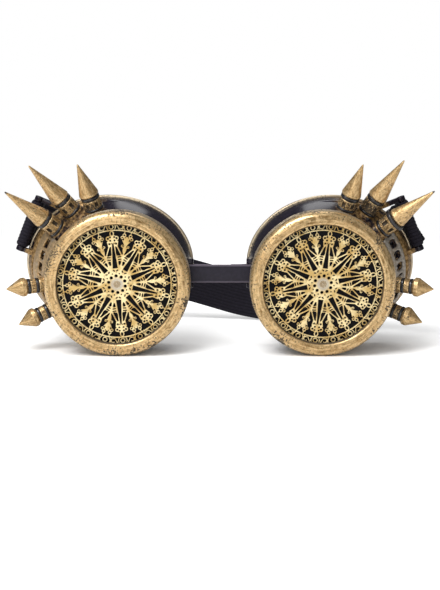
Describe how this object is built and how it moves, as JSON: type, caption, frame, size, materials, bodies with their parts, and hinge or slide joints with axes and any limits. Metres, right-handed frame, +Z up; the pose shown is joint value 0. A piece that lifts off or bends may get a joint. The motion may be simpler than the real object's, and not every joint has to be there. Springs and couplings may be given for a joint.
{
  "type": "steampunk goggles",
  "caption": "Round goggles with screw-on antique gold bezels, pierced rosette discs over dark lenses, brass cone spikes and an elastic head strap.",
  "frame": {"origin": "centre of the footprint's box, on the ground under the bezels and the strap", "axes": "+X along the pair of cups, from the left cup in the picture to the right one; -Y the way the lenses face; +Z up"},
  "size_m": [0.1784, 0.081, 0.08],
  "materials": {
    "cup_shell": "glossy black moulded plastic with a brown rub-through",
    "antique_gold": "distressed antique gold over moulded plastic, semi-gloss",
    "filigree_brass": "bright gold pierced disc, satin",
    "spike_brass": "old gold, rubbed bright on the edges",
    "collar_brass": "darkened brass",
    "ring_rubber": "glossy black rubber",
    "gasket_rubber": "matt black rubber",
    "lens_glass": "very dark polished lens",
    "screw_steel": "plain steel",
    "vent_grey": "silver grey paint worn to brown",
    "strip_black": "satin black coated strip",
    "elastic_black": "matt ribbed elastic",
    "slider_black": "matt black moulded buckle"
  },
  "bodies": {
    "bridge": {"nose_strip": "strip_black", "head_strap": "elastic_black"},
    "slider": {"strap_slider": "slider_black"},
    "cup_left": {"eyecup_left": "cup_shell", "rim_trim_left": "antique_gold", "vent_frame_left": "vent_grey", "hinge_pin_left": "screw_steel", "strap_loop_left": "elastic_black", "top_spike_left": "spike_brass", "upper_spike_left": "spike_brass", "side_spike_left": "spike_brass", "middle_spike_left": "spike_brass", "lower_spike_left": "spike_brass", "spike_collars_left": "collar_brass", "spike_rings_left": "ring_rubber", "spike_screws_left": "screw_steel"},
    "lens_pack_left": {"rosette_left": "filigree_brass", "lens_left": "lens_glass", "gasket_left": "gasket_rubber"},
    "bezel_left_ring": {"bezel_left": "antique_gold"},
    "cup_right": {"eyecup_right": "cup_shell", "rim_trim_right": "antique_gold", "vent_frame_right": "vent_grey", "hinge_pin_right": "screw_steel", "strap_loop_right": "elastic_black", "top_spike_right": "spike_brass", "upper_spike_right": "spike_brass", "side_spike_right": "spike_brass", "middle_spike_right": "spike_brass", "lower_spike_right": "spike_brass", "spike_collars_right": "collar_brass", "spike_rings_right": "ring_rubber", "spike_screws_right": "screw_steel"},
    "lens_pack_right": {"rosette_right": "filigree_brass", "lens_right": "lens_glass", "gasket_right": "gasket_rubber"},
    "bezel_right_ring": {"bezel_right": "antique_gold"}
  },
  "joints": [
    {"name": "cup_left_hinge", "type": "hinge", "parent": "bridge", "child": "cup_left", "pos_m": [-0.0128, -0.02493, 0.0326], "axis": [0, 0, 1], "range_deg": [-15, 30], "deforming": ["head_strap"]},
    {"name": "lens_pack_left_slide", "type": "slide", "parent": "cup_left", "child": "lens_pack_left", "axis": [0, -1, 0], "range_m": [0, 0.00301]},
    {"name": "bezel_left_turn", "type": "hinge", "parent": "lens_pack_left", "child": "bezel_left_ring", "pos_m": [-0.0422, -0.03503, 0.03], "axis": [0, -1, 0], "range_deg": [0, 720]},
    {"name": "cup_right_hinge", "type": "hinge", "parent": "bridge", "child": "cup_right", "pos_m": [0.0128, -0.02493, 0.0326], "axis": [0, 0, -1], "range_deg": [-15, 30], "deforming": ["head_strap"]},
    {"name": "lens_pack_right_slide", "type": "slide", "parent": "cup_right", "child": "lens_pack_right", "axis": [0, -1, 0], "range_m": [0, 0.00301]},
    {"name": "bezel_right_turn", "type": "hinge", "parent": "lens_pack_right", "child": "bezel_right_ring", "pos_m": [0.0422, -0.03503, 0.03], "axis": [0, -1, 0], "range_deg": [0, 720]},
    {"name": "strap_slider_slide", "type": "slide", "parent": "bridge", "child": "slider", "axis": [0.7044, -0.5236, 0.4793], "range_m": [-0.009, 0.009], "deforming": ["head_strap"]}
  ],
  "couplings": [
    {"joint": "lens_pack_left_slide", "follows": "bezel_left_turn", "m_per_rad": 0.00023873},
    {"joint": "lens_pack_right_slide", "follows": "bezel_right_turn", "m_per_rad": 0.00023873}
  ]
}
